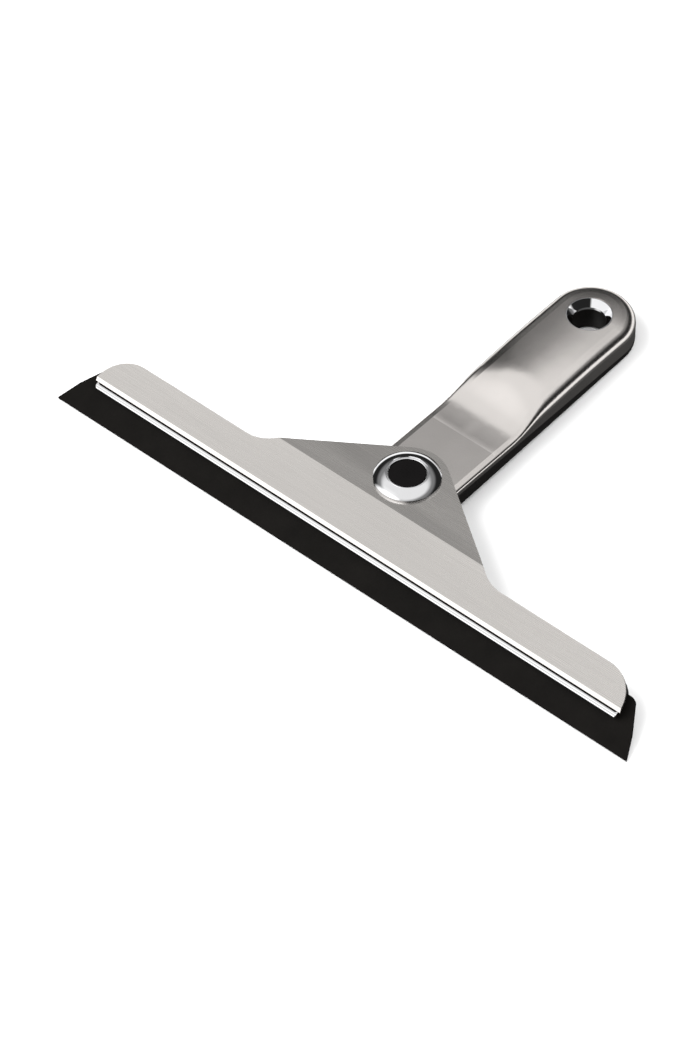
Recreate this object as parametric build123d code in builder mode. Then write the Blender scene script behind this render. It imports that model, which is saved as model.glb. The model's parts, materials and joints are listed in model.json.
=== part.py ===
from build123d import *

import os
from math import atan2, cos, hypot, radians, sin, tan

# Window squeegee: a bent stainless head that carries a rubber blade and turns on a
# pivot at the end of a two-shell handle.  Millimetres and degrees, +Z up.
#
# Every piece is drawn in the handle's own plane (HANDLE below): its origin is the
# pivot's centre on the top face of the head plate, x runs along the blade, y towards
# the far end of the handle, z away from the plate.  That plane is tilted a few
# degrees, because at rest the squeegee stands on the edge of its rubber and on the
# far end of the handle.  World Z = 0 is the surface that it stands on.

# ---- driving dimensions -------------------------------------------------------------
BLADE_LENGTH = 300.0  # rubber edge, tip to tip

# Head plate, a bent sheet.
PLATE_T = 1.5
BEND_Y = 16.8  # pivot to the bend line
FACET_ANGLE = 24.5  # the working half of the head slopes down by this much
FACET_EDGE = 18.7  # bend line to the start of the polished edge, along the facet
EDGE_BEVEL = 1.4  # the polished 45 degree edge
BEND_RADIUS = 2.0
WING_TOP = 5.3  # bend line to the upper edge of the wings, along the facet
PLATE_HALF = 138.0
PLATE_CORNER = 15.5
NOSE_RADIUS = 17.0  # round the pivot
FLANK_ANGLE = 34.9  # between the blade and each side of the triangle
FLANK_FILLET = 20.0  # between each side of the triangle and the wing

# Stack under the facet, as depths below its face, and places down the slope.
SEAL_T = 0.3
SEAL_HALF = 136.4
SEAL_FOOT = 20.8  # it peeps out below the plate's edge
SEAL_CORNER = 1.0
SEAL_TOP = 9.4
CHANNEL_T = 1.0
CHANNEL_GAP = 4.6  # inside, across the folded channel
CHANNEL_TOP = 7.4
CHANNEL_LIP = 22.8
CHANNEL_BEND = 1.1  # centre-line radius of the front lip
CHANNEL_FOLD = 2.0  # centre-line radius of the two upper corners
CHANNEL_HALF = 137.0
LIP_CORNER = 1.5
CLAMP_T = 1.2
CLAMP_TOP, CLAMP_FOOT = 9.0, 18.6
CLAMP_HALF = 128.0
CLAMP_CORNER = 3.84
STUD_SLOPE = 13.6
STUD_PITCH = 48.0
STUD_COUNT = 5
STUD_R = 2.0
SPACER_R = 3.0
NUT_FLATS = 7.0
NUT_T = 2.2
WASHER_R = 4.0
WASHER_T = 0.8

STUD_PROUD = 0.6  # of each nut
NUT_CHAMFER = 0.3
PLUG_LENGTH, PLUG_INSET, PLUG_CHAMFER = 8.0, 10.6, 1.2

# Rubber blade.
RUBBER_TIP = 33.8  # bend line to the wiping edge, along the facet
RUBBER_ROOT = 11.4
RUBBER_ENDS = ((138.0, RUBBER_ROOT), (145.6, 24.1), (BLADE_LENGTH / 2, RUBBER_TIP))  # x, down the slope
RUBBER_CORNER = 3.0
ROOT_FRONT, ROOT_BACK = 3.0, 7.35
ROOT_HALF = 133.0  # the bead on the root stops short of the rubber's ends
ROOT_SLOPE = 1.8  # the bead narrows over this length above the lip
NECK_FRONT = 5.1
TIP_FRONT, TIP_BACK = 5.8, 7.3

# Pivot.
SCREW_R = 5.0
SCREW_HEAD_R = 6.6
THREAD_R = 3.0
HEAD_CHAMFER = 0.3
THREAD_GAP = 0.6  # from the screw's end to the cover
BEZEL_FOOT_R, BEZEL_R = 13.3, 13.8
BEZEL_WAIST = 1.0  # height of the widest line
BEZEL_HOLE = 7.8
BEZEL_H = 3.2
BEZEL_CREST_R = 8.9
BEZEL_DOME = 9.0  # section radius of the dome
BEZEL_LIP_R, BEZEL_LIP_Z = 0.5, 2.7  # beaded lip round the cap: section radius, height of its foot
BEZEL_LIP_W = 0.85
BEZEL_FLANGE = 0.7
CAP_TOP = 2.7
CAP_CHAMFER, CAP_CHAMFER_H = 0.4, 0.4
CAP_SKIN = 0.65
WASHER_DISC_R = 15.0
WASHER_DISC_T = 0.7
BUSH_R = 7.0
BUSH_FLANGE_R = 9.0
BUSH_FLANGE_T = 0.8
LOWER_WASHER_T = 0.6
SPRING_T = 0.6
NUT_FLANGE_R = 8.0
NUT_FLANGE_T = 0.8
PIVOT_NUT_FLATS, PIVOT_NUT_T = 10.0, 2.4

# Handle.
HANDLE_HALF = 18.5
HANDLE_LENGTH = 114.4  # pivot to the centre of the hanging hole
HANDLE_ROUND = 115.5  # pivot to the centre of the round end
UNDER_PIVOT = -13.75  # underside of the handle at the pivot
UNDER_RISE = 0.0388  # the underside rises by this much per mm towards the far end
SPLIT_Z = -5.6  # parting line between the metal shell and the black base
GRIP_TOP = 6.2
THIN_CROWN = 0.04  # how far the neck's flat top falls from its middle to its brows
THIN_BROW, GRIP_BROW = 2.9, 5.9  # width of the sloping strip along each side of the top
NECK_SIDE = -2.65  # height of the top's two long sides along the neck
SIDE_RISES = ((3.7, 40.0, 66.0), (3.45, 34.0, 108.0))  # how far they rise, and between which y
SWEEP_START, SWEEP_END, SWEEP_STEPS = 34.0, 108.0, 24
THIN_ROUND, GRIP_ROUND = 1.4, 4.6
RAMP_START, RAMP_END = 43.5, 73.0
BASE_ROUND = 2.0
SEAM = 0.25
HOLE_TOP_R, HOLE_R = 9.75, 7.1
HOLE_DEPTH = 3.6
RING_CHAMFER, RING_LAND, RING_WALL = 0.15, 0.45, 1.0
SLEEVE_WALL, SLEEVE_LEAD = 1.45, 0.6
CASE_SCREW_R, CASE_HEAD_R = 1.5, 2.8
CASE_SCREW_PLACES = (32.0, 64.0, 97.0)
CASE_SCREW_GRIP, CASE_SCREW_SPARE = 2.2, 0.5
CASE_SCREW_SINK = 0.4  # heads lie this far above the underside
CASE_HEAD_EDGE = 0.3
CASE_SOCKET_R, CASE_SOCKET_DEPTH = 1.15, 1.2
POCKET_WIDTH, POCKET_DEPTH, POCKET_CORNER = 24.0, 8.0, 4.0
POCKET_START, POCKET_END = 70.0, 91.0
RELIEFS = ((15.0, 26.0), (38.0, 58.0), (70.0, 91.0))  # hollows in the base, along y
BASE_FLOOR = 2.0
WELL_GAP = 1.4  # round the bush's flange
COVER_SINK, COVER_T = 0.3, 1.0
COVER_CHAMFER, COVER_SKIRT_TOP = 0.5, -8.0
CLEAR = 0.05  # between pieces that are pushed together
RUNNING = 0.05  # on radius, round the pivot screw

# ---- places worked out from them ----------------------------------------------------
def underside(y):
    """Height of the handle's underside at y."""
    return UNDER_PIVOT + UNDER_RISE * y


FACET = radians(FACET_ANGLE)
CHANNEL_FACE = PLATE_T + SEAL_T
CHANNEL_BACK = CHANNEL_FACE + 2 * CHANNEL_T + CHANNEL_GAP
CLAMP_BACK = CHANNEL_BACK + CLAMP_T
THIN_TOP = -PLATE_T - WASHER_DISC_T
BUSH_BOTTOM = SPLIT_Z - BUSH_FLANGE_T
SPRING_TOP = BUSH_BOTTOM - LOWER_WASHER_T
NUT_TOP = SPRING_TOP - SPRING_T
HANDLE_END = HANDLE_ROUND + HANDLE_HALF
GRIP_SIDE = NECK_SIDE + sum(rise for rise, start, end in SIDE_RISES)
WELL_R = BUSH_FLANGE_R + WELL_GAP
COVER_UNDER = underside(WELL_R) + COVER_SINK


def down_slope(s, d):
    """Handle-plane (y, z) of the point s down the facet and d below its face."""
    return (-BEND_Y - s * cos(FACET) + d * sin(FACET), -s * sin(FACET) - d * cos(FACET))


# The squeegee stands on the back corner of the wiping edge and on the rounded lower
# rim at the handle's far end.  The tilt puts both on the same level.
TIP_Y, TIP_Z = down_slope(RUBBER_TIP, TIP_BACK)
RIM_Y = HANDLE_END - BASE_ROUND
RIM_Z = underside(RIM_Y) + BASE_ROUND * hypot(1, UNDER_RISE)
SPAN = hypot(RIM_Y - TIP_Y, RIM_Z - TIP_Z)
TILT = atan2(RIM_Z - TIP_Z, RIM_Y - TIP_Y) - atan2(BASE_ROUND, SPAN)
PIVOT_Z = TIP_Y * sin(TILT) - TIP_Z * cos(TILT)

# The origin is midway between the wiping edge and the far end of the handle.
FRONT = min(down_slope(RUBBER_TIP, d)[0] * cos(TILT) + down_slope(RUBBER_TIP, d)[1] * sin(TILT)
            for d in (TIP_FRONT, TIP_BACK))
BACK = (HANDLE_END - GRIP_ROUND) * cos(TILT) + (GRIP_SIDE - GRIP_ROUND) * sin(TILT) + GRIP_ROUND
PIVOT_Y = -(FRONT + BACK) / 2

HANDLE = Plane(origin=(0, PIVOT_Y, PIVOT_Z), x_dir=(1, 0, 0), z_dir=(0, sin(TILT), cos(TILT)))
ACROSS = Plane(origin=HANDLE.origin, x_dir=HANDLE.y_dir, z_dir=(1, 0, 0))
FACE = Plane(
    origin=HANDLE.origin - HANDLE.y_dir * BEND_Y,
    x_dir=(1, 0, 0),
    z_dir=HANDLE.z_dir * cos(FACET) - HANDLE.y_dir * sin(FACET),
)
FACE_ACROSS = Plane(origin=FACE.origin, x_dir=FACE.y_dir, z_dir=(1, 0, 0))


def on_face(*places):
    """Points of a section through the facet, from (down the slope, depth) pairs."""
    return [(-s, -d) for s, d in places]


def turned_about(y=0.0):
    """Half-section plane of a round piece whose axis stands at (0, y): radius, height."""
    return Plane(origin=HANDLE.origin + HANDLE.y_dir * y, x_dir=(1, 0, 0), z_dir=-HANDLE.y_dir)


def spindle(y=0.0):
    """The axis that such a round piece is turned about."""
    return Axis(HANDLE.origin + HANDLE.y_dir * y, HANDLE.z_dir)


def save(part, name):
    """Labels a finished piece and writes it out."""
    part.label = name
    export_step(part, f"parts/{name}.step")


ROUND_ABOUT = (Align.CENTER, Align.MIN)
FACE_NORMAL = Axis(FACE.origin, FACE.z_dir)
STUDS = [((i - (STUD_COUNT - 1) / 2) * STUD_PITCH, -STUD_SLOPE) for i in range(STUD_COUNT)]


def creases(plate, x, y):
    """The two edges that stand across the sheet at (x, y) and (-x, y)."""
    standing = plate.edges().filter_by(lambda e: e.length < 2 * PLATE_T and e.geom_type == GeomType.LINE)
    return [standing.sort_by_distance(HANDLE.from_local_coords((side * x, y, y * tan(FACET) / 4)))[0]
            for side in (-1, 1)]


os.makedirs("parts", exist_ok=True)

# ---- head plate: one bent sheet, triangle above the bend, wings below it --------------
FACET_FOOT = FACET_EDGE + EDGE_BEVEL
UNDER_BEND = (-BEND_Y + PLATE_T * tan(FACET / 2), -PLATE_T)
BEYOND = NOSE_RADIUS + 5
WING_Y = down_slope(WING_TOP, 0)[0]
FLANK = radians(FLANK_ANGLE)
TANGENT_X, TANGENT_Y = NOSE_RADIUS * sin(FLANK), NOSE_RADIUS * cos(FLANK)
FLANK_X = (NOSE_RADIUS - WING_Y * cos(FLANK)) / sin(FLANK)

with BuildPart() as head_plate:
    with BuildSketch(ACROSS):
        with BuildLine():
            Polyline(
                (BEYOND, 0),
                (-BEND_Y, 0),
                down_slope(FACET_EDGE, 0),
                down_slope(FACET_FOOT, EDGE_BEVEL),
                down_slope(FACET_FOOT, PLATE_T),
                UNDER_BEND,
                (BEYOND, -PLATE_T),
                close=True,
            )
        make_face()
        corners = vertices()
        fillet(corners.sort_by_distance(ACROSS.from_local_coords((-BEND_Y, 0, 0)))[0],
               BEND_RADIUS + PLATE_T)
    extrude(amount=PLATE_HALF, both=True)
    with BuildSketch(HANDLE.offset(-BLADE_LENGTH / 4)):
        with BuildLine():
            Line((FLANK_X, WING_Y), (TANGENT_X, TANGENT_Y))
            RadiusArc((TANGENT_X, TANGENT_Y), (-TANGENT_X, TANGENT_Y), -NOSE_RADIUS)
            Polyline(
                (-TANGENT_X, TANGENT_Y),
                (-FLANK_X, WING_Y),
                (-BLADE_LENGTH, WING_Y),
                (-BLADE_LENGTH, -BLADE_LENGTH),
                (BLADE_LENGTH, -BLADE_LENGTH),
                (BLADE_LENGTH, WING_Y),
                (FLANK_X, WING_Y),
            )
        make_face()
    extrude(amount=BLADE_LENGTH / 2, mode=Mode.INTERSECT)
    with BuildSketch(FACE.offset(-BLADE_LENGTH / 4)):
        with Locations((0, -WING_TOP - 2 * PLATE_CORNER)):
            wings = Rectangle(2 * PLATE_HALF, 2 * PLATE_CORNER, align=ROUND_ABOUT)
            fillet(wings.vertices().group_by(Axis.Y)[-1], PLATE_CORNER)
            Rectangle(2 * FLANK_X, BLADE_LENGTH / 2, align=ROUND_ABOUT)
    extrude(amount=BLADE_LENGTH / 2, mode=Mode.INTERSECT)
    fillet(creases(head_plate, FLANK_X, WING_Y), FLANK_FILLET)
    with BuildSketch(HANDLE):
        Circle(SCREW_R + CLEAR)
    extrude(amount=-BEND_Y, mode=Mode.SUBTRACT)
save(head_plate.part, "head_plate")

# ---- blade channel: a folded strip whose front lip curls in onto the rubber -----------
CHANNEL_MID = CHANNEL_FACE + CHANNEL_T / 2


def strip_outline(half, foot, corner):
    """Outline of a strip under the facet, with the plate's round ends and a foot of its own."""
    with BuildSketch() as outline:
        with Locations((0, -WING_TOP - 2 * PLATE_CORNER)):
            strip = Rectangle(2 * half, 2 * PLATE_CORNER, align=ROUND_ABOUT)
            fillet(strip.vertices().group_by(Axis.Y)[-1], PLATE_CORNER)
        with Locations((0, -foot)):
            Rectangle(BLADE_LENGTH, foot, align=ROUND_ABOUT, mode=Mode.INTERSECT)
        fillet(outline.vertices().group_by(Axis.Y)[0], corner)
    return outline.sketch


with BuildPart() as blade_channel:
    with BuildSketch(FACE_ACROSS):
        with BuildLine():
            FilletPolyline(
                *on_face(
                    (CHANNEL_LIP - CHANNEL_T / 2, NECK_FRONT - 2 * CLEAR),
                    (CHANNEL_LIP - CHANNEL_T / 2, CHANNEL_MID),
                    (CHANNEL_TOP + CHANNEL_T / 2, CHANNEL_MID),
                    (CHANNEL_TOP + CHANNEL_T / 2, CHANNEL_BACK - CHANNEL_T / 2),
                    (CHANNEL_LIP, CHANNEL_BACK - CHANNEL_T / 2),
                ),
                radius=(CHANNEL_BEND, CHANNEL_FOLD, CHANNEL_FOLD),
            )
        trace(line_width=CHANNEL_T)
    extrude(amount=CHANNEL_HALF, both=True)
    with BuildSketch(FACE.offset(-CHANNEL_BACK - 1)):
        add(strip_outline(CHANNEL_HALF, CHANNEL_LIP, LIP_CORNER))
    extrude(amount=CHANNEL_BACK + 1, mode=Mode.INTERSECT)
    with BuildSketch(FACE):
        with Locations(*STUDS):
            Circle(STUD_R + CLEAR)
    extrude(amount=-CLAMP_BACK, mode=Mode.SUBTRACT)
save(blade_channel.part, "blade_channel")

# ---- seal strip: thin black strip between the plate and the channel -------------------
with BuildPart() as seal_strip:
    with BuildSketch(FACE.offset(-PLATE_T)):
        add(strip_outline(SEAL_HALF, SEAL_FOOT, SEAL_CORNER))
        with Locations((0, -SEAL_FOOT)):
            Rectangle(BLADE_LENGTH, SEAL_FOOT - SEAL_TOP, align=ROUND_ABOUT, mode=Mode.INTERSECT)
        with Locations(*STUDS):
            Circle(STUD_R + CLEAR, mode=Mode.SUBTRACT)
    extrude(amount=-SEAL_T)
save(seal_strip.part, "seal_strip")

# ---- rubber blade: a thick root held in the channel, a tapered lip below it -----------
LIP_INSIDE = CHANNEL_LIP - CHANNEL_T

with BuildPart() as rubber_blade:
    with BuildSketch(FACE_ACROSS):
        with BuildLine():
            Polyline(
                *on_face(
                    (RUBBER_ROOT, ROOT_FRONT),
                    (LIP_INSIDE - 2 * ROOT_SLOPE, ROOT_FRONT),
                    (LIP_INSIDE - ROOT_SLOPE, NECK_FRONT),
                    (CHANNEL_LIP, NECK_FRONT),
                    (RUBBER_TIP, TIP_FRONT),
                    (RUBBER_TIP, TIP_BACK),
                    (CHANNEL_LIP, ROOT_BACK),
                    (RUBBER_ROOT, ROOT_BACK),
                ),
                close=True,
            )
        make_face()
    extrude(amount=BLADE_LENGTH / 2, both=True)
    with BuildSketch(FACE):
        with BuildLine():
            Polyline(
                *[(x, -s) for x, s in RUBBER_ENDS],
                *[(-x, -s) for x, s in reversed(RUBBER_ENDS)],
                close=True,
            )
        outline = make_face()
        fillet(outline.vertices().group_by(Axis.Y)[-1], RUBBER_CORNER)
        with Locations(*STUDS):
            Circle(SPACER_R + CLEAR, mode=Mode.SUBTRACT)
    extrude(amount=-CHANNEL_BACK, mode=Mode.INTERSECT)
    with BuildSketch(FACE):
        for side in (-1, 1):
            with Locations((side * BLADE_LENGTH / 2, -RUBBER_TIP / 2)):
                Rectangle(BLADE_LENGTH - 2 * ROOT_HALF, RUBBER_TIP)
    extrude(amount=-NECK_FRONT, mode=Mode.SUBTRACT)
save(rubber_blade.part, "rubber_blade")

# ---- end plugs: nylon blocks that close the channel above the rubber ------------------
PLUG_X = PLATE_HALF - PLUG_INSET

with BuildPart() as end_plugs:
    with BuildSketch(FACE.offset(-CHANNEL_FACE - CHANNEL_T - CLEAR)):
        for side in (-1, 1):
            with Locations((side * PLUG_X, -(CHANNEL_TOP + CHANNEL_T + RUBBER_ROOT) / 2)):
                Rectangle(PLUG_LENGTH, RUBBER_ROOT - CHANNEL_TOP - CHANNEL_T - 4 * CLEAR)
    extrude(amount=-(CHANNEL_GAP - 2 * CLEAR))
    chamfer(end_plugs.edges().filter_by(Axis.X), PLUG_CHAMFER)
save(end_plugs.part, "end_plugs")

# ---- plate studs: welded under the facet, they carry the whole clamp ------------------
with BuildPart() as plate_studs:
    with BuildSketch(FACE.offset(-PLATE_T)):
        with Locations(*STUDS):
            Circle(STUD_R)
    extrude(amount=-(CLAMP_BACK + WASHER_T + NUT_T + STUD_PROUD - PLATE_T))
save(plate_studs.part, "plate_studs")

# ---- channel spacers: tubes that stop the nuts from crushing the channel --------------
with BuildPart() as channel_spacers:
    with BuildSketch(FACE.offset(-CHANNEL_FACE - CHANNEL_T)):
        with Locations(*STUDS):
            Circle(SPACER_R)
            Circle(STUD_R + CLEAR, mode=Mode.SUBTRACT)
    extrude(amount=-CHANNEL_GAP)
save(channel_spacers.part, "channel_spacers")

# ---- rear clamp: the stainless strip that backs the channel ---------------------------
with BuildPart() as rear_clamp:
    with BuildSketch(FACE.offset(-CHANNEL_BACK)):
        with Locations((0, -CLAMP_FOOT)):
            bar = Rectangle(2 * CLAMP_HALF, CLAMP_FOOT - CLAMP_TOP, align=ROUND_ABOUT)
            fillet(bar.vertices(), CLAMP_CORNER)
        with Locations(*STUDS):
            Circle(STUD_R + CLEAR, mode=Mode.SUBTRACT)
    extrude(amount=-CLAMP_T)
    chamfer(rear_clamp.faces().sort_by(FACE_NORMAL)[0].outer_wire().edges(), CLAMP_T / 4)
save(rear_clamp.part, "rear_clamp")

with BuildPart() as clamp_washers:
    with BuildSketch(FACE.offset(-CLAMP_BACK)):
        with Locations(*STUDS):
            Circle(WASHER_R)
            Circle(STUD_R + CLEAR, mode=Mode.SUBTRACT)
    extrude(amount=-WASHER_T)
save(clamp_washers.part, "clamp_washers")

with BuildPart() as clamp_nuts:
    with BuildSketch(FACE.offset(-CLAMP_BACK - WASHER_T)):
        with Locations(*STUDS):
            RegularPolygon(NUT_FLATS / 2, 6, major_radius=False)
            Circle(STUD_R + CLEAR / 2, mode=Mode.SUBTRACT)
    extrude(amount=-NUT_T)
    backs = clamp_nuts.faces().sort_by(FACE_NORMAL)[:STUD_COUNT]
    chamfer(backs.edges().filter_by(GeomType.LINE), NUT_CHAMFER)
save(clamp_nuts.part, "clamp_nuts")

# ---- pivot bezel: domed ring on the plate, held down by the pivot screw's head --------
with BuildPart() as pivot_bezel:
    with BuildSketch(turned_about()):
        with BuildLine():
            Polyline((SCREW_R + CLEAR, 0), (BEZEL_FOOT_R, 0), (BEZEL_R, BEZEL_WAIST))
            RadiusArc((BEZEL_R, BEZEL_WAIST), (BEZEL_CREST_R, BEZEL_H), -BEZEL_DOME)
            Line((BEZEL_CREST_R, BEZEL_H), (BEZEL_HOLE + BEZEL_LIP_W, BEZEL_LIP_Z))
            RadiusArc((BEZEL_HOLE + BEZEL_LIP_W, BEZEL_LIP_Z), (BEZEL_HOLE, BEZEL_LIP_Z), -BEZEL_LIP_R)
            Polyline(
                (BEZEL_HOLE, BEZEL_LIP_Z),
                (BEZEL_HOLE, BEZEL_FLANGE),
                (SCREW_R + CLEAR, BEZEL_FLANGE),
                (SCREW_R + CLEAR, 0),
            )
        make_face()
    revolve(axis=spindle())
save(pivot_bezel.part, "pivot_bezel")

# ---- pivot screw: low head, plain shoulder through plate and handle, threaded end -----
SHOULDER_END = NUT_TOP + CLEAR
THREAD_END = COVER_UNDER + COVER_T + THREAD_GAP

with BuildPart() as pivot_screw:
    with BuildSketch(turned_about()):
        with BuildLine():
            Polyline(
                (0, THREAD_END),
                (THREAD_R - HEAD_CHAMFER, THREAD_END),
                (THREAD_R, THREAD_END + HEAD_CHAMFER),
                (THREAD_R, SHOULDER_END),
                (SCREW_R, SHOULDER_END),
                (SCREW_R, BEZEL_FLANGE),
                (SCREW_HEAD_R, BEZEL_FLANGE),
                (SCREW_HEAD_R, CAP_TOP - CAP_SKIN - HEAD_CHAMFER - CLEAR),
                (SCREW_HEAD_R - HEAD_CHAMFER, CAP_TOP - CAP_SKIN - CLEAR),
                (0, CAP_TOP - CAP_SKIN - CLEAR),
                close=True,
            )
        make_face()
    revolve(axis=spindle())
save(pivot_screw.part, "pivot_screw")

# ---- pivot cap: black plug over the screw's head --------------------------------------
with BuildPart() as pivot_cap:
    with BuildSketch(turned_about()):
        with BuildLine():
            Polyline(
                (0, CAP_TOP - CAP_SKIN),
                (SCREW_HEAD_R + 2 * CLEAR, CAP_TOP - CAP_SKIN),
                (SCREW_HEAD_R + 2 * CLEAR, BEZEL_FLANGE + CLEAR),
                (BEZEL_HOLE - CLEAR, BEZEL_FLANGE + CLEAR),
                (BEZEL_HOLE - CLEAR, CAP_TOP - CAP_CHAMFER_H),
                (BEZEL_HOLE - CLEAR - CAP_CHAMFER, CAP_TOP),
                (0, CAP_TOP),
                close=True,
            )
        make_face()
    revolve(axis=spindle())
save(pivot_cap.part, "pivot_cap")

# ---- rings stacked on the pivot under the plate ---------------------------------------
RINGS = {
    "friction_washer": (SCREW_R + 2 * CLEAR, WASHER_DISC_R, -PLATE_T, THIN_TOP),
    "lower_washer": (SCREW_R + 0.1, BUSH_FLANGE_R, BUSH_BOTTOM, SPRING_TOP),
    "spring_washer": (SCREW_R + 0.2, BUSH_FLANGE_R - 0.5, SPRING_TOP, NUT_TOP),
}
for name, (inner_r, outer_r, top, bottom) in RINGS.items():
    with BuildPart() as ring:
        with BuildSketch(HANDLE.offset(bottom)):
            Circle(outer_r)
            Circle(inner_r, mode=Mode.SUBTRACT)
        extrude(amount=top - bottom)
    save(ring.part, name)

with BuildPart() as pivot_bush:
    with BuildSketch(turned_about()):
        with BuildLine():
            Polyline(
                (SCREW_R + RUNNING, THIN_TOP),
                (BUSH_R, THIN_TOP),
                (BUSH_R, SPLIT_Z),
                (BUSH_FLANGE_R, SPLIT_Z),
                (BUSH_FLANGE_R, BUSH_BOTTOM),
                (SCREW_R + RUNNING, BUSH_BOTTOM),
                close=True,
            )
        make_face()
    revolve(axis=spindle())
save(pivot_bush.part, "pivot_bush")

with BuildPart() as pivot_nut:
    with BuildSketch(HANDLE.offset(NUT_TOP)):
        Circle(NUT_FLANGE_R)
    extrude(amount=-NUT_FLANGE_T)
    with BuildSketch(HANDLE.offset(NUT_TOP - NUT_FLANGE_T)):
        RegularPolygon(PIVOT_NUT_FLATS / 2, 6, major_radius=False)
    extrude(amount=-PIVOT_NUT_T)
    with BuildSketch(HANDLE.offset(NUT_TOP)):
        Circle(THREAD_R + CLEAR / 2)
    extrude(amount=-PIVOT_NUT_FLATS, mode=Mode.SUBTRACT)
save(pivot_nut.part, "pivot_nut")

# ---- handle shell: thin neck, swept ramp and crowned grip, cast in one ----------------
RING_FOOT = GRIP_TOP - HOLE_DEPTH - RING_WALL
RING_TOP = GRIP_TOP - (GRIP_TOP - GRIP_SIDE) * (HOLE_TOP_R / HANDLE_HALF) ** 2
SLEEVE_END = underside(HANDLE_LENGTH + HOLE_R + SLEEVE_WALL)
SCREWS = [(0, y) for y in CASE_SCREW_PLACES]
HANDLE_NORMAL = Axis(HANDLE.origin, HANDLE.z_dir)


def ease(y, start, end):
    """Smooth step from 0 to 1 that leaves start and arrives at end level."""
    t = min(1, max(0, (y - start) / (end - start)))
    return t ** 3 * (10 - 15 * t + 6 * t * t)


def section(y):
    """Outline of the shell across the handle at y."""
    side = NECK_SIDE + sum(rise * ease(y, start, end) for rise, start, end in SIDE_RISES)
    share = ease(y, RAMP_START, RAMP_END)
    height = THIN_TOP + (GRIP_TOP - THIN_TOP) * share
    corner = THIN_ROUND + (GRIP_ROUND - THIN_ROUND) * share
    brow_x = HANDLE_HALF - THIN_BROW - (GRIP_BROW - THIN_BROW) * share
    brow = height - THIN_CROWN * (1 - share) + (side - height) * (brow_x / HANDLE_HALF) ** 2 * share
    with BuildSketch() as outline:
        with BuildLine():
            Spline((-brow_x, brow), (0, height), (brow_x, brow))
            Polyline(
                (brow_x, brow),
                (HANDLE_HALF, side),
                (HANDLE_HALF, SPLIT_Z),
                (-HANDLE_HALF, SPLIT_Z),
                (-HANDLE_HALF, side),
                (-brow_x, brow),
            )
        make_face()
        outer = [v for v in outline.vertices() if abs(v.X) > HANDLE_HALF - CLEAR and v.Y > SPLIT_Z + 1]
        fillet(outer, corner)
    return outline.sketch


def half_section(y):
    """The right half of that outline, which is turned to make a round end."""
    with BuildSketch() as half:
        add(section(y))
        with Locations((-HANDLE_HALF, 0)):
            Rectangle(2 * HANDLE_HALF, 4 * HANDLE_HALF, mode=Mode.SUBTRACT)
    return half.sketch


def screw_profile(y, gap, drop, top):
    """Half section of the countersunk screw at y, made larger by gap and longer by drop below its head."""
    sink = underside(y) + CASE_SCREW_SINK
    cone = sink + CASE_HEAD_EDGE + CASE_HEAD_R - CASE_SCREW_R
    with BuildSketch() as profile:
        with BuildLine():
            Polyline(
                (0, sink - drop),
                (CASE_HEAD_R + gap, sink - drop),
                (CASE_HEAD_R + gap, sink + CASE_HEAD_EDGE),
                (CASE_SCREW_R + gap, cone),
                (CASE_SCREW_R + gap, top),
                (0, top),
                close=True,
            )
        make_face()
    return profile.sketch


SWEEP = [SWEEP_START + (SWEEP_END - SWEEP_START) * i / SWEEP_STEPS for i in range(SWEEP_STEPS + 1)]

with BuildPart() as handle_shell:
    with BuildSketch(turned_about()):
        add(half_section(0))
    revolve(axis=spindle())
    with BuildSketch(turned_about()):
        add(section(0))
    extrude(amount=-SWEEP_START)
    for y in SWEEP:
        with BuildSketch(turned_about(y)):
            add(section(y))
    loft()
    with BuildSketch(turned_about(SWEEP_END)):
        add(section(SWEEP_END))
    extrude(amount=SWEEP_END - HANDLE_ROUND)
    with BuildSketch(turned_about(HANDLE_ROUND)):
        add(half_section(HANDLE_ROUND))
    revolve(axis=spindle(HANDLE_ROUND))
    with BuildSketch(HANDLE.offset(SPLIT_Z)):
        Circle(BUSH_R)
        with Locations((0, HANDLE_LENGTH)):
            Circle(HOLE_R + SLEEVE_WALL + CLEAR)
    extrude(amount=2 * HANDLE_HALF, mode=Mode.SUBTRACT)
    with BuildSketch(HANDLE.offset(RING_FOOT)):
        with Locations((0, HANDLE_LENGTH)):
            Circle(HOLE_TOP_R + CLEAR)
    extrude(amount=HANDLE_HALF, mode=Mode.SUBTRACT)
    with BuildSketch(HANDLE.offset(SPLIT_Z)):
        with Locations((0, (POCKET_START + POCKET_END) / 2)):
            pocket = Rectangle(POCKET_WIDTH, POCKET_END - POCKET_START)
            fillet(pocket.vertices(), POCKET_CORNER)
    extrude(amount=POCKET_DEPTH, mode=Mode.SUBTRACT)
    with BuildSketch(HANDLE.offset(SPLIT_Z)):
        with Locations(*SCREWS):
            Circle(CASE_SCREW_R + CLEAR / 2)
    extrude(amount=CASE_SCREW_GRIP + CASE_SCREW_SPARE, mode=Mode.SUBTRACT)
save(handle_shell.part, "handle_shell")

# ---- handle base: black moulding under the shell, with a well round the pivot nut -----
DEEPEST = underside(-HANDLE_HALF)

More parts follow.
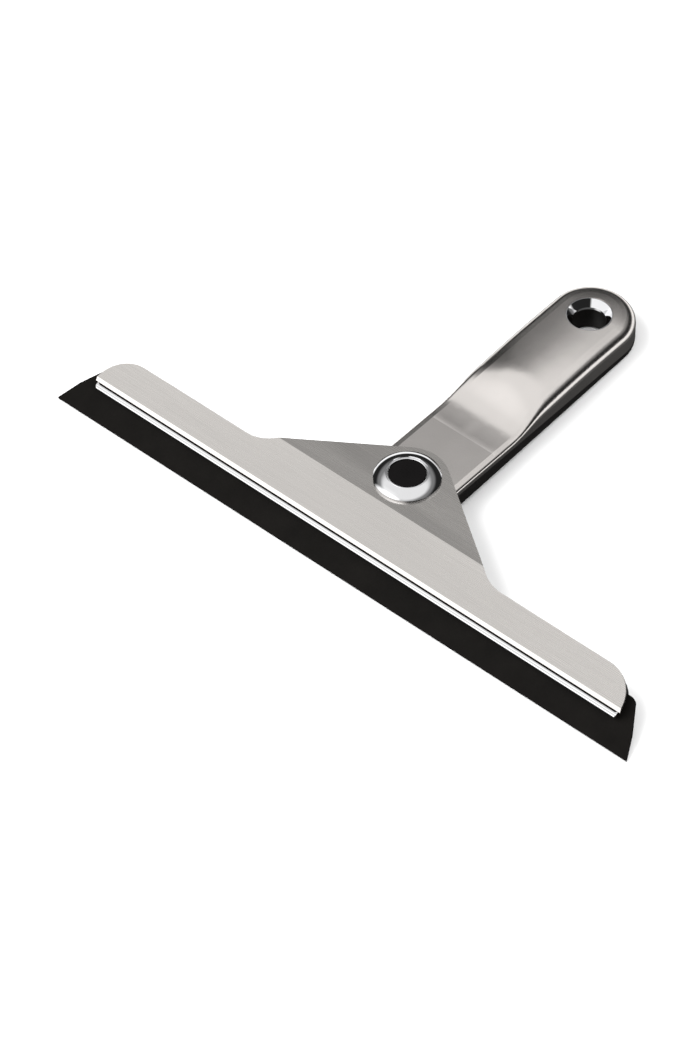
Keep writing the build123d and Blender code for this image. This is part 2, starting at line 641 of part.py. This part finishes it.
with BuildPart() as handle_base:
    with BuildSketch(HANDLE.offset(SPLIT_Z)):
        with Locations((0, HANDLE_ROUND / 2)):
            SlotCenterToCenter(HANDLE_ROUND, 2 * HANDLE_HALF, rotation=90)
    extrude(amount=DEEPEST - SPLIT_Z)
    with BuildSketch(ACROSS):
        with BuildLine():
            Polyline(
                (-BLADE_LENGTH, DEEPEST - 2 * HANDLE_HALF),
                (-BLADE_LENGTH, underside(-BLADE_LENGTH)),
                (BLADE_LENGTH, underside(BLADE_LENGTH)),
                (BLADE_LENGTH, DEEPEST - 2 * HANDLE_HALF),
                close=True,
            )
        make_face()
    extrude(amount=2 * HANDLE_HALF, both=True, mode=Mode.SUBTRACT)
    fillet(handle_base.faces().sort_by(HANDLE_NORMAL)[0].outer_wire().edges(), BASE_ROUND)
    chamfer(handle_base.faces().sort_by(HANDLE_NORMAL)[-1].outer_wire().edges(), SEAM)
    with BuildSketch(HANDLE.offset(DEEPEST)):
        Circle(WELL_R)
        with Locations((0, HANDLE_LENGTH)):
            Circle(HOLE_R + SLEEVE_WALL + CLEAR)
    extrude(amount=HANDLE_HALF, mode=Mode.SUBTRACT)
    for start, end in RELIEFS:
        with BuildSketch(HANDLE.offset(SPLIT_Z)):
            with Locations((0, (start + end) / 2)):
                relief = Rectangle(POCKET_WIDTH, end - start)
                fillet(relief.vertices(), POCKET_CORNER)
        extrude(amount=underside(end) + BASE_FLOOR - SPLIT_Z, mode=Mode.SUBTRACT)
    for y in CASE_SCREW_PLACES:
        with BuildSketch(turned_about(y)):
            add(screw_profile(y, CLEAR, 1, SPLIT_Z + 1))
        revolve(axis=spindle(y), mode=Mode.SUBTRACT)
save(handle_base.part, "handle_base")

# ---- handle screws: countersunk, up through the base into the shell -------------------
with BuildPart() as handle_screws:
    for y in CASE_SCREW_PLACES:
        with BuildSketch(turned_about(y)):
            add(screw_profile(y, 0, 0, SPLIT_Z + CASE_SCREW_GRIP))
        revolve(axis=spindle(y))
        with BuildSketch(HANDLE.offset(underside(y))):
            with Locations((0, y)):
                RegularPolygon(CASE_SOCKET_R, 6)
        extrude(amount=CASE_SCREW_SINK + CASE_SOCKET_DEPTH, mode=Mode.SUBTRACT)
save(handle_screws.part, "handle_screws")

# ---- pivot cover: black disc that closes the well under the nut -----------------------
with BuildPart() as pivot_cover:
    with BuildSketch(turned_about()):
        with BuildLine():
            Polyline(
                (0, COVER_UNDER),
                (WELL_R - COVER_CHAMFER, COVER_UNDER),
                (WELL_R - CLEAR, COVER_UNDER + COVER_CHAMFER),
                (WELL_R - CLEAR, COVER_SKIRT_TOP),
                (WELL_R - COVER_T, COVER_SKIRT_TOP),
                (WELL_R - COVER_T, COVER_UNDER + COVER_T),
                (0, COVER_UNDER + COVER_T),
                close=True,
            )
        make_face()
    revolve(axis=spindle())
save(pivot_cover.part, "pivot_cover")

# ---- hanging hole: polished funnel ring let into the shell, black sleeve below it -----
with BuildPart() as hole_ring:
    with BuildSketch(turned_about(HANDLE_LENGTH)):
        with BuildLine():
            Polyline(
                (HOLE_R, RING_FOOT),
                (HOLE_TOP_R, RING_FOOT),
                (HOLE_TOP_R, RING_TOP - RING_CHAMFER),
                (HOLE_TOP_R - RING_CHAMFER, RING_TOP),
                (HOLE_TOP_R - RING_LAND, RING_TOP),
                (HOLE_R, GRIP_TOP - HOLE_DEPTH),
                close=True,
            )
        make_face()
    revolve(axis=spindle(HANDLE_LENGTH))
save(hole_ring.part, "hole_ring")

with BuildPart() as hole_sleeve:
    with BuildSketch(turned_about(HANDLE_LENGTH)):
        with BuildLine():
            Polyline(
                (HOLE_R, RING_FOOT),
                (HOLE_R, SLEEVE_END + SLEEVE_LEAD),
                (HOLE_R + SLEEVE_LEAD, SLEEVE_END),
                (HOLE_R + SLEEVE_WALL, SLEEVE_END),
                (HOLE_R + SLEEVE_WALL, RING_FOOT),
                close=True,
            )
        make_face()
    revolve(axis=spindle(HANDLE_LENGTH))
save(hole_sleeve.part, "hole_sleeve")
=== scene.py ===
import json
from math import cos, pi, radians, sin

import bpy
from mathutils import Matrix, Vector

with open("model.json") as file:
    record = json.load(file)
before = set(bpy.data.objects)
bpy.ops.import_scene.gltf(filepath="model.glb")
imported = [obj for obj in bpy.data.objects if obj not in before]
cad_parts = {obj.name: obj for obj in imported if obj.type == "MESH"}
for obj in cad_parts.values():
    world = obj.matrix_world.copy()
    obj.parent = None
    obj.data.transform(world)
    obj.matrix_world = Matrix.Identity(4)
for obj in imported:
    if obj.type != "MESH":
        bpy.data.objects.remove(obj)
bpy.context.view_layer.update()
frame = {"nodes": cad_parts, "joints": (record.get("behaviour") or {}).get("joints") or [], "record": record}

MM = 0.001
NODES = frame["nodes"]


# ---------------------------------------------------------------- camera
# The camera is placed in the handle's own frame: x along the blade, y towards the hanging hole, z along the pivot.
AZIMUTH = radians(41.3)
ELEVATION = radians(47.1)
ROLL = radians(-0.4)
DISTANCE = 2310 * MM
AIM_LEFT = 23.75 * MM
AIM_DOWN = 18.87 * MM
LENS = 198.07


def pivot_frame():
    """The swivel joint's place and the handle's x, y and z directions."""
    joint = frame["joints"][0]
    place = Vector(joint["pos_m"])
    z = Vector(joint["axis"]).normalized()
    x = Vector((1, 0, 0))
    return place, x, z.cross(x), z


def make_camera():
    place, x, y, z = pivot_frame()
    back = cos(ELEVATION) * (sin(AZIMUTH) * x - cos(AZIMUTH) * y) + sin(ELEVATION) * z
    level = cos(AZIMUTH) * x + sin(AZIMUTH) * y
    upright = back.cross(level)
    right = cos(ROLL) * level + sin(ROLL) * upright
    up = cos(ROLL) * upright - sin(ROLL) * level
    spot = place + DISTANCE * back - AIM_LEFT * right - AIM_DOWN * up
    data = bpy.data.cameras.new("camera")
    data.lens = LENS
    data.sensor_width = 36
    data.clip_start = 0.05
    camera = bpy.data.objects.new("camera", data)
    camera.matrix_world = Matrix(
        (
            (right.x, up.x, back.x, spot.x),
            (right.y, up.y, back.y, spot.y),
            (right.z, up.z, back.z, spot.z),
            (0, 0, 0, 1),
        )
    )
    bpy.context.collection.objects.link(camera)
    bpy.context.scene.camera = camera


# ---------------------------------------------------------------- studio
GLOWS = (  # direction, inner and outer angle, light
    ((-0.10, 0.05, 0.99), 31, 45, 0.66),
    ((-0.10, 0.05, 0.99), 47, 60, 0.20),
    ((-0.45, -0.45, 0.77), 12, 28, 0.12),
    ((-0.30, -0.85, 0.15), 46, 58, 1.0),
)
HORIZON = (  # sine of the elevation, light
    (-1.0, 0.01),
    (-0.80, 0.03),
    (-0.62, 0.12),
    (-0.46, 0.03),
    (-0.36, 0.9),
    (-0.12, 1.1),
    (0.0, 1.2),
    (0.06, 0.7),
    (0.12, 0.02),
    (1.0, 0.015),
)


def make_world():
    """A soft studio: a round softbox overhead, a pale wall in front, a narrow pale horizon, and dark beyond."""
    world = bpy.data.worlds.new("studio")
    bpy.context.scene.world = world
    world.use_nodes = True
    tree = world.node_tree
    tree.nodes.clear()
    out = tree.nodes.new("ShaderNodeOutputWorld")
    shade = tree.nodes.new("ShaderNodeBackground")
    shade.inputs["Color"].default_value = (1, 1, 1, 1)
    tree.links.new(shade.outputs[0], out.inputs[0])
    where = tree.nodes.new("ShaderNodeTexCoord").outputs["Generated"]

    def added(a, b):
        both = tree.nodes.new("ShaderNodeMath")
        both.operation = "ADD"
        tree.links.new(a, both.inputs[0])
        tree.links.new(b, both.inputs[1])
        return both.outputs[0]

    def glow(middle, inner, outer, light):
        """Light from a round patch of the surroundings, full within inner degrees and gone at outer."""
        turn = tree.nodes.new("ShaderNodeVectorMath")
        turn.operation = "DOT_PRODUCT"
        turn.inputs[1].default_value = Vector(middle).normalized()
        tree.links.new(where, turn.inputs[0])
        patch = tree.nodes.new("ShaderNodeMapRange")
        patch.interpolation_type = "SMOOTHSTEP"
        patch.inputs["From Min"].default_value = cos(radians(outer))
        patch.inputs["From Max"].default_value = cos(radians(inner))
        patch.inputs["To Max"].default_value = light
        tree.links.new(turn.outputs["Value"], patch.inputs["Value"])
        return patch.outputs[0]

    height = tree.nodes.new("ShaderNodeSeparateXYZ")
    tree.links.new(where, height.inputs[0])
    lift = tree.nodes.new("ShaderNodeMapRange")
    lift.inputs["From Min"].default_value = -1
    tree.links.new(height.outputs["Z"], lift.inputs["Value"])
    ring = tree.nodes.new("ShaderNodeValToRGB")
    while len(ring.color_ramp.elements) < len(HORIZON):
        ring.color_ramp.elements.new(0.5)
    for element, (level, light) in zip(ring.color_ramp.elements, HORIZON):
        element.position = (level + 1) / 2
        element.color = (light, light, light, 1)
    tree.links.new(lift.outputs[0], ring.inputs[0])
    total = ring.outputs[0]
    for middle, inner, outer, light in GLOWS:
        total = added(total, glow(middle, inner, outer, light))
    tree.links.new(total, shade.inputs["Strength"])


def softbox(name, place, target, size, power):
    """A square area light that lights surfaces but isn't mirrored in the metal."""
    data = bpy.data.lights.new(name, "AREA")
    data.shape = "SQUARE"
    data.size = size
    data.energy = power
    light = bpy.data.objects.new(name, data)
    light.location = place
    light.rotation_euler = (Vector(target) - Vector(place)).to_track_quat("-Z", "Y").to_euler()
    light.visible_glossy = False
    bpy.context.collection.objects.link(light)
    return light


def make_floor():
    half = 6.0
    mesh = bpy.data.meshes.new("floor")
    mesh.from_pydata(
        [(-half, -half, 0), (half, -half, 0), (half, half, 0), (-half, half, 0)], [], [(0, 1, 2, 3)]
    )
    floor = bpy.data.objects.new("floor", mesh)
    bpy.context.collection.objects.link(floor)
    material = bpy.data.materials.new("floor_paper")
    material.use_nodes = True
    shader = material.node_tree.nodes["Principled BSDF"]
    shader.inputs["Base Color"].default_value = (0.9, 0.9, 0.9, 1)
    shader.inputs["Roughness"].default_value = 1
    shader.inputs["Specular IOR Level"].default_value = 0
    mesh.materials.append(material)
    floor.visible_glossy = False


# ---------------------------------------------------------------- materials
class Finish:
    """A node material on object coordinates, which are metres in the row frame."""

    def __init__(self, name, colour, metallic, roughness):
        self.material = bpy.data.materials.new(name)
        self.material.use_nodes = True
        self.tree = self.material.node_tree
        self.shader = self.tree.nodes["Principled BSDF"]
        self.shader.inputs["Metallic"].default_value = metallic
        self.shader.inputs["Roughness"].default_value = roughness
        self.shader.inputs["Base Color"].default_value = (*colour, 1)
        self.colour = colour
        self.where = self.node("ShaderNodeTexCoord").outputs["Object"]
        self.height = None

    def node(self, kind, **values):
        made = self.tree.nodes.new(kind)
        for key, value in values.items():
            setattr(made, key, value)
        return made

    def link(self, a, b):
        self.tree.links.new(a, b)

    def set(self, socket, value):
        self.shader.inputs[socket].default_value = value

    def noise(self, scale, detail=2, roughness=0.5, stretch=(1, 1, 1), turn=(0, 0, 0)):
        place = self.node("ShaderNodeMapping")
        place.inputs["Scale"].default_value = stretch
        place.inputs["Rotation"].default_value = turn
        self.link(self.where, place.inputs["Vector"])
        made = self.node("ShaderNodeTexNoise")
        made.inputs["Scale"].default_value = scale
        made.inputs["Detail"].default_value = detail
        made.inputs["Roughness"].default_value = roughness
        self.link(place.outputs[0], made.inputs["Vector"])
        return made.outputs["Fac"]

    def ranged(self, value, low, high, start=0.3, end=0.7):
        made = self.node("ShaderNodeMapRange")
        made.inputs["From Min"].default_value = start
        made.inputs["From Max"].default_value = end
        made.inputs["To Min"].default_value = low
        made.inputs["To Max"].default_value = high
        self.link(value, made.inputs["Value"])
        return made.outputs[0]

    def times(self, a, b):
        made = self.node("ShaderNodeMath", operation="MULTIPLY")
        self.link(a, made.inputs[0])
        self.link(b, made.inputs[1])
        return made.outputs[0]

    def tint(self, value):
        """The colour times a factor that varies over the surface."""
        made = self.node("ShaderNodeVectorMath", operation="SCALE")
        made.inputs[0].default_value = self.colour
        self.link(value, made.inputs["Scale"])
        self.link(made.outputs[0], self.shader.inputs["Base Color"])

    def rough(self, value):
        self.link(value, self.shader.inputs["Roughness"])

    def bump(self, value, depth, strength=1.0):
        made = self.node("ShaderNodeBump")
        made.inputs["Strength"].default_value = strength
        made.inputs["Distance"].default_value = depth
        self.link(value, made.inputs["Height"])
        if self.height is not None:
            self.link(self.height, made.inputs["Normal"])
        self.height = made.outputs[0]
        self.link(self.height, self.shader.inputs["Normal"])


def brushed_plate():
    made = Finish("brushed_plate", (0.635, 0.61, 0.585), 1, 0.24)
    grain = made.noise(1, 3, 0.6, (60, 2600, 2600))
    coarse = made.noise(1, 2, 0.5, (14, 700, 700))
    smudge = made.noise(22, 3)
    made.tint(made.times(made.ranged(grain, 0.94, 1.05), made.ranged(coarse, 0.98, 1.02)))
    made.rough(made.times(made.ranged(grain, 0.20, 0.30), made.ranged(smudge, 0.94, 1.08)))
    made.bump(grain, 0.02 * MM, 0.15)
    made.set("Anisotropic", 0.5)
    return made.material


def satin_metal():
    made = Finish("satin_metal", (0.84, 0.80, 0.77), 1, 0.2)
    grit = made.noise(2600, 3, 0.6)
    cloud = made.noise(60, 3)
    made.tint(made.ranged(cloud, 0.97, 1.02))
    made.rough(made.times(made.ranged(grit, 0.17, 0.24), made.ranged(cloud, 0.95, 1.06)))
    made.bump(grit, 0.01 * MM, 0.25)
    return made.material


def polished_steel():
    made = Finish("polished_steel", (0.72, 0.72, 0.725), 1, 0.12)
    grain = made.noise(1, 2, 0.5, (40, 1800, 1800))
    made.tint(made.ranged(grain, 0.96, 1.03))
    made.rough(made.ranged(grain, 0.10, 0.16))
    return made.material


def inner_steel():
    made = Finish("inner_steel", (0.55, 0.55, 0.56), 1, 0.33)
    cloud = made.noise(180, 3)
    made.tint(made.ranged(cloud, 0.92, 1.04))
    made.rough(made.ranged(cloud, 0.28, 0.42))
    made.bump(made.noise(1500, 2), 0.01 * MM, 0.3)
    return made.material


def chrome_ring():
    made = Finish("chrome_ring", (0.88, 0.88, 0.89), 1, 0.03)
    haze = made.noise(300, 2)
    made.rough(made.ranged(haze, 0.015, 0.035))
    made.tint(made.ranged(haze, 0.985, 1.01))
    return made.material


def black_rubber():
    made = Finish("black_rubber", (0.0045, 0.004, 0.0035), 0, 0.6)
    grit = made.noise(1400, 3, 0.6)
    dust = made.noise(90, 4, 0.6)
    made.tint(made.ranged(dust, 0.85, 1.25))
    made.rough(made.ranged(grit, 0.54, 0.68))
    made.bump(grit, 0.02 * MM, 0.3)
    made.set("Specular IOR Level", 0.08)
    return made.material


def black_plastic():
    made = Finish("black_plastic", (0.006, 0.0055, 0.005), 0, 0.45)
    grit = made.noise(1800, 2)
    made.tint(made.ranged(made.noise(120, 3), 0.9, 1.15))
    made.rough(made.ranged(grit, 0.36, 0.48))
    made.bump(grit, 0.015 * MM, 0.35)
    made.set("Specular IOR Level", 0.2)
    return made.material


def black_gloss():
    made = Finish("black_gloss", (0.004, 0.0036, 0.0036), 0, 0.3)
    grit = made.noise(1500, 2)
    made.tint(made.ranged(made.noise(150, 3), 0.9, 1.15))
    made.rough(made.ranged(grit, 0.26, 0.34))
    made.set("Specular IOR Level", 0.08)
    return made.material


def white_nylon():
    made = Finish("white_nylon", (0.78, 0.77, 0.73), 0, 0.45)
    cloud = made.noise(200, 3)
    made.tint(made.ranged(cloud, 0.96, 1.02))
    made.rough(made.ranged(cloud, 0.40, 0.52))
    return made.material


FINISHES = {
    "brushed_plate": brushed_plate,
    "satin_metal": satin_metal,
    "polished_steel": polished_steel,
    "inner_steel": inner_steel,
    "chrome_ring": chrome_ring,
    "black_rubber": black_rubber,
    "black_plastic": black_plastic,
    "black_gloss": black_gloss,
    "white_nylon": white_nylon,
}


def paint_nodes():
    """Each CAD piece gets the finish of the material slot that the record names for it."""
    slots = {part["node"]: part["material_slot"] for part in frame["record"]["subparts"]}
    made = {name: make() for name, make in FINISHES.items()}
    for node, obj in NODES.items():
        for entry in obj.material_slots:
            entry.material = made[slots[node]]


paint_nodes()
make_camera()
make_world()
softbox("key_light", (-0.9, -0.9, 1.5), (0, 0, 0), 1.4, 40)
softbox("fill_light", (1.1, 0.3, 1.5), (0, 0, 0), 1.4, 28)
make_floor()
bpy.context.scene.view_settings.view_transform = "Standard"
